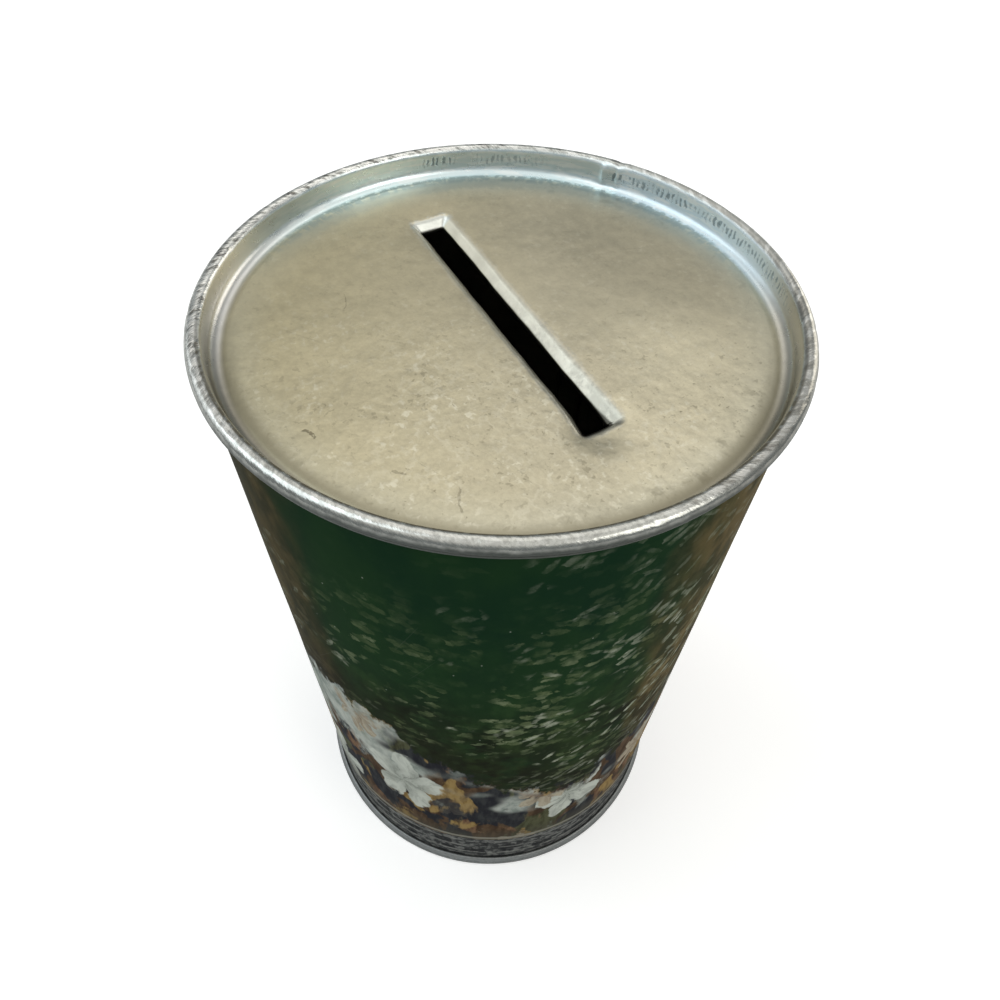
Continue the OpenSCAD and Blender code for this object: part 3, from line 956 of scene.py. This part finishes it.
def flower_bed(m):
    """Dark earth with loose brown, olive, russet and ochre leaves, and pale foliage along its top."""
    m.coat((m.v - m.crest).step(13, 1) * 0.55, (0.015, 0.014, 0.008))
    under = (m.crest - m.v).step(-1.2, 1.2)
    vein = m.noise(1.3, 4, 0.6, 30, m.xyz(m.u * 1.3, m.v * 0.3))
    m.coat(under * 0.94, vein.blend(0.4, 0.65, (0.02, 0.02, 0.027), (0.042, 0.045, 0.048)))
    for size, level, seed, one, two in (
        (10.0, 0.52, 32, (0.055, 0.032, 0.018), (0.11, 0.068, 0.038)),
        (8.5, 0.55, 33, (0.045, 0.046, 0.022), (0.095, 0.1, 0.054)),
        (7.5, 0.58, 34, (0.105, 0.055, 0.03), (0.22, 0.13, 0.075)),
        (7.5, 0.585, 35, (0.19, 0.12, 0.042), (0.34, 0.235, 0.09)),
    ):
        shape = m.noise(size, 3, 0.55, seed, m.tall, warp=0.6) + (vein - 0.5) * 0.1
        leaf = vein.blend(0.36, 0.64, one, two)
        m.coat(shape.step(level, level + 0.03) * under * 0.95, leaf)
    mist_low = m.crest - 13 + (m.noise(2.6, 3, 0.65, 36, m.tall) - 0.5) * 16
    mist = (m.crest - m.v).step(-0.6, 1.4) * (m.v - mist_low).step(-2.5, 2.5)
    mist = mist * (m.noise(10, 2, 0.5, 37, m.at) + m.wave * 0.12).step(0.42, 0.55)
    brush = m.noise(1.6, 4, 0.65, 38, m.vec("MULTIPLY", m.at, (0.8, 0.45, 1)))
    m.coat(mist * 0.92, brush.blend(0.32, 0.66, (0.25, 0.29, 0.26), (0.52, 0.55, 0.5)))


def blossoms(m, size, petals, seed, share, light, shadow):
    """Loose ruffled blossoms, taller than wide, on a share of the places in the bed."""
    v = m.v * 0.55
    place = m.xyz(m.u / size + seed * 5.7, v / size + seed * 2.3)
    _, (ra, rb, rc), centre = m.cells(place, 0.8)
    ruffle = m.drift(0.32, size * 0.24, 3, 0.55, seed + 0.3, m.xyz(m.u, v))
    x, y, _ = m.split(m.vec("ADD", m.vec("SUBTRACT", place, centre), ruffle))
    reach = m.reach(x, y)
    round_it = m.math("ARCTAN2", y, x) * petals + ra * 6.28
    lobe = abs(m.math("COSINE", round_it * 0.5))
    edge = lobe.span(0, 1, 0.22, 0.46) * rb.fade(0.85)
    petal = (edge - reach).step(0.0, 0.04) * rc.step(share, share - 0.02)
    folds = m.xyz(m.math("SINE", round_it) * 1.6, reach * 4.0, ra * 9.0)
    folds = m.noise(1.0, 3, 0.6, seed, folds).step(0.34, 0.62)
    shade = folds * 0.45 + lobe * 0.3 + reach.step(0.03, 0.26) * 0.3
    m.coat(petal * (m.crest - m.v).step(1.0, 5.0) * 0.96, m.mix(shade, shadow, light))


def border(m):
    """The border at the foot: a pale line over a dark band with worn lines and blots."""
    foot = m.v + (m.noise(1.2, 2, 0.6, 41, m.at) - 0.5) * 0.35
    m.coat(m.v.step(18, 12.5) * 0.5, (0.085, 0.08, 0.06))
    worn = m.noise(1.1, 3, 0.65, 42, m.at)
    m.coat(foot.step(11.4, 11.1), worn.blend(0.42, 0.64, (0.045, 0.047, 0.048), (0.185, 0.19, 0.18)))
    row = m.math("ROUND", foot * 0.6) * 9.0
    blots = m.noise(2.4, 2, 0.5, 43, m.xyz(m.u * 0.9, row)).step(0.5, 0.56)
    m.coat(blots * foot.within(4.2, 4.5, 9.3, 9.6) * 0.8, (0.018, 0.019, 0.021))
    broken = m.noise(1.5, 3, 0.6, 45, m.xyz(m.u, m.v * 0.1)).step(0.36, 0.5)
    for height, half in ((10.0, 0.32), (7.0, 0.22), (4.1, 0.32)):
        m.coat(abs(foot - height).step(half + 0.15, half - 0.1) * broken * 0.42, (0.33, 0.335, 0.31))
    m.coat(foot.within(11.5, 11.8, 12.4, 12.7) * 0.75, (0.3, 0.29, 0.24))


def print_wear(m):
    """Dust specks, fine scratches, and painted shade along the print's edges next to the seams. Gives the
    scratches.
    """
    distance, (chance, _, _), _ = m.cells(m.vec("MULTIPLY", m.at, (0.42, 0.3, 1)))
    m.coat(distance.step(0.045, 0.015) * chance.step(0.08, 0.06) * 0.5, (0.36, 0.4, 0.34))
    fine = scratches(m, m.at, 3.5, 10, 62, 0.01, 0.16, 5)
    fine = m.most(fine, scratches(m, m.at, 4.2, 7, -20, 0.01, 0.14, 6))
    m.coat(fine * 0.07, (0.3, 0.31, 0.27))
    # Painted shade where the body meets the seams
    to_seam = m.math("MINIMUM", m.v - seam_h, can_h - seam_h - m.v)
    m.coat(to_seam.step(0.9, 0.05) * 0.15, (0.012, 0.015, 0.013))
    return fine


def seam_strip(m):
    """The unprinted tin at the side seam, brushed and smeared. Gives its place."""
    brushed = m.noise(0.5, 3, 0.6, 44, m.xyz(m.u * 2.0, m.v * 0.07))
    smear = m.noise(3.5, 3, 0.6, 47, m.xyz(m.u * 1.6, m.v * 0.35))
    tin = brushed.blend(0.3, 0.7, (0.2, 0.195, 0.17), (0.4, 0.385, 0.33))
    tin = m.mix(smear.step(0.45, 0.62) * 0.5, tin, (0.46, 0.465, 0.45))
    beside = (m.turn - m.math("SIGN", m.turn) * math.pi) * body_r
    ragged = (m.noise(2.2, 3, 0.6, 48, m.at) - 0.5) * 0.5
    bare = abs(beside - 0.45 + ragged).step(2.35, 2.2)
    m.coat(bare, tin)
    return bare


def printed_tin():
    """The varnished print: painterly foliage over a bed of tall flowers, of no one's design."""
    m = Print("printed_tin")
    ground(m)
    foliage(m)
    sprays(m)
    flower_bed(m)
    blossoms(m, 13.0, 5, 1.0, 0.42, (0.6, 0.63, 0.565), (0.17, 0.19, 0.165))
    blossoms(m, 8.5, 7, 2.0, 0.26, (0.46, 0.41, 0.31), (0.18, 0.125, 0.08))
    border(m)
    fine = print_wear(m)
    bare = seam_strip(m)
    m.emboss(m.noise(2.6, 2, 0.5, 45), 0.012)
    m.emboss(m.noise(0.5, 2, 0.5, 46), 0.0016)
    m.emboss(m.without(fine), 0.004)
    return m.finish(0.48 + (m.mid - 0.5) * 0.12, metallic=bare * 0.9, specular=0.004)


def bare_tin():
    """The plain inside of the body, with rolling lines round it and a few rust freckles."""
    m = Paint("bare_tin")
    lines = m.noise(0.5, 3, 0.6, 1, m.vec("MULTIPLY", m.p, (0.05, 0.05, 2.0)))
    cloud = m.noise(6, 3, 0.55, 2)
    m.colour = m.mix(lines * 0.5 + cloud * 0.5, (0.32, 0.31, 0.27), (0.62, 0.6, 0.53))
    rust = m.noise(1.6, 4, 0.7, 3).step(0.63, 0.72) * m.noise(9, 2, 0.5, 4).step(0.5, 0.6)
    m.coat(rust * 0.6, (0.16, 0.06, 0.02))
    m.emboss(lines, 0.003)
    return m.finish(0.36 + lines * 0.14 + rust * 0.3, metallic=m.without(rust))


def solder():
    """Dull grey solder with a few dark stains."""
    m = Paint("solder")
    lump = m.noise(0.9, 3, 0.6, 1)
    m.colour = lump.blend(0.35, 0.65, (0.19, 0.19, 0.185), (0.4, 0.41, 0.405))
    m.coat(m.noise(2.4, 3, 0.65, 2).step(0.56, 0.68) * 0.5, (0.085, 0.08, 0.07))
    m.emboss(lump, 0.03)
    m.emboss(m.noise(0.35, 2, 0.6, 3), 0.008)
    return m.finish(lump.span(0.3, 0.7, 0.55, 0.38), metallic=0.85)


def sealing_compound():
    """Brown rubbery compound."""
    m = Paint("sealing_compound")
    grain = m.noise(0.15, 3, 0.6, 1)
    m.colour = grain.blend(0.35, 0.65, (0.028, 0.02, 0.011), (0.065, 0.048, 0.028))
    m.emboss(grain, 0.006)
    return m.finish(grain.span(0.3, 0.7, 0.62, 0.85))


# Pieces


def piece(name, rings, material, replaced, capped=False):
    """A mesh with its material, in the place of a CAD body."""
    obj = sheet(name, rings, capped)
    obj.data.materials.append(material)
    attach(obj, "root")
    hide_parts(replaced)
    return obj


def make_lid():
    # Light and dark lacquer, then the painted bluish reflection
    tones = (0.645, 0.59, 0.435), (0.565, 0.515, 0.38), (0.49, 0.545, 0.52)
    # Tones of the painted shade on the seam's lower wall
    painted_shade_tones = (0.016, 0.022, 0.019), (0.06, 0.073, 0.068)
    tin = tin_plate("tin_plate_top", tones, painted_shade_tones, 0.37, is_top=True)
    piece("lid_with_slot", lid_rings(), tin, "top_end")


def make_base():
    # Light and dark lacquer, then the painted bluish reflection
    tones = (0.6, 0.575, 0.49), (0.46, 0.445, 0.385), (0.42, 0.45, 0.42)
    # Tones of the painted shade on the seam's lower wall
    painted_shade_tones = (0.16, 0.17, 0.17), (0.4, 0.42, 0.42)
    tin = tin_plate("tin_plate_bottom", tones, painted_shade_tones, 0.42, is_top=False)
    piece("base_plate", base_rings(), tin, "bottom_end", capped=True)


def make_body():
    """The printed body, bare inside, and the solder in its side seam."""
    body = piece("printed_body", body_rings(), printed_tin(), "body_shell")
    body.data.materials.append(bare_tin())
    faces = body.data.polygons
    centres, normals = np.zeros((2, len(faces) * 3))
    faces.foreach_get("center", centres)
    faces.foreach_get("normal", normals)
    out = (centres * normals).reshape(-1, 3)[:, :2].sum(1)
    faces.foreach_set("material_index", (out < 0).astype(np.int32))
    piece("side_seam_run", solder_rings(), solder(), "side_seam_solder", capped=True)


def dress_compound():
    compound = sealing_compound()
    for name in ("top_seam_compound", "bottom_seam_compound"):
        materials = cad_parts[name].data.materials
        for i in range(len(materials)):
            materials[i] = compound


# Camera, floor and light


def towards(azimuth, elevation):
    """A unit vector from the can to a camera or lamp. Azimuth 0 is in front."""
    a, e = math.radians(azimuth), math.radians(elevation)
    return Vector((math.sin(a) * math.cos(e), -math.cos(a) * math.cos(e), math.sin(e)))


def make_camera():
    """The photograph's view, from a fit to the rims, the slot and the sides."""
    azimuth, elevation, roll = 59.943, 51.728, 2.368
    distance, focal_px, picture = 87.937, 746.92, 1000
    across, height = 0.407, 57.843
    a = math.radians(azimuth)
    right = Vector((math.cos(a), math.sin(a), 0))
    back = towards(azimuth, elevation)
    target = right * across + Vector((0, 0, height))
    facing = Matrix((right, back.cross(right), back)).transposed().to_4x4()
    facing = facing @ Matrix.Rotation(math.radians(roll), 4, "Z")
    data = bpy.data.cameras.new("camera")
    data.sensor_width = 36
    data.lens = focal_px / picture * data.sensor_width
    data.clip_start, data.clip_end = 0.002, 20
    camera = new_object("camera", data)
    camera.matrix_world = Matrix.Translation((target + back * distance) * MM) @ facing
    bpy.context.scene.camera = camera


def make_floor():
    """A white floor, lifted a little towards paper white where the camera sees it."""
    m = Paint("floor")
    tone = m.mix(m.noise(40, 2, 0.5), (0.86, 0.86, 0.86), (0.88, 0.88, 0.88))
    seen = Value(m, m.add("LightPath").outputs["Is Camera Ray"])
    matt = m.node("BsdfDiffuse", tone)
    glow = m.add("Emission", {"Strength": seen * 0.38})
    both = m.node("AddShader", matt, glow.outputs[0])
    m.add("OutputMaterial", {0: both})
    half = 3.0
    corners = [(-half, -half, 0), (half, -half, 0), (half, half, 0), (-half, half, 0)]
    mesh = bpy.data.meshes.new("floor")
    mesh.from_pydata(corners, [], [(0, 1, 2, 3)])
    mesh.materials.append(m.mat)
    new_object("floor", mesh)


def make_lamp(name, azimuth, elevation, size, watts, colour):
    """A soft square lamp that faces the middle of the can from a metre away."""
    back = towards(azimuth, elevation)
    data = bpy.data.lights.new(name, "AREA")
    data.shape, data.size, data.energy, data.color = "SQUARE", size, watts, colour
    middle = Vector((0, 0, can_h * MM / 2))
    facing = back.to_track_quat("Z", "Y").to_matrix().to_4x4()
    new_object(name, data).matrix_world = Matrix.Translation(middle + back) @ facing


def make_surroundings():
    """A studio that is bright above and dim below."""
    world = bpy.data.worlds.new("studio")
    bpy.context.scene.world = world
    world.use_nodes = True
    nodes, join = world.node_tree.nodes, world.node_tree.links.new
    place, split, ramp = (nodes.new("ShaderNode" + kind) for kind in ("TexCoord", "SeparateXYZ", "ValToRGB"))
    join(place.outputs["Generated"], split.inputs[0])
    join(split.outputs[2], ramp.inputs[0])
    join(ramp.outputs[0], nodes["Background"].inputs[0])
    tones = (0.26, 0.285, 0.295), (0.285, 0.3, 0.3), (0.5, 0.505, 0.495), (0.86, 0.85, 0.82)
    for i, (level, tone) in enumerate(zip((0.0, 0.42, 0.62, 0.82), tones)):
        stop = ramp.color_ramp.elements[i] if i < 2 else ramp.color_ramp.elements.new(level)
        stop.position, stop.color = level, (*tone, 1)


def main():
    make_camera()
    make_lid()
    make_body()
    make_base()
    dress_compound()
    make_floor()
    make_surroundings()
    make_lamp("key", 238, 60, 0.6, 0.45, (1.0, 0.97, 0.91))
    make_lamp("fill", -48, 26, 0.6, 0.9, (0.95, 0.98, 1.0))
    make_lamp("window", -28, 53, 0.7, 2.0, (0.8, 0.91, 0.98))
    make_lamp("side", 117, 40, 0.5, 1.5, (1.0, 0.98, 0.93))
    make_lamp("edge", 192, 14, 0.5, 1.2, (1.0, 0.94, 0.84))
    bpy.context.scene.view_settings.view_transform = "Standard"


main()
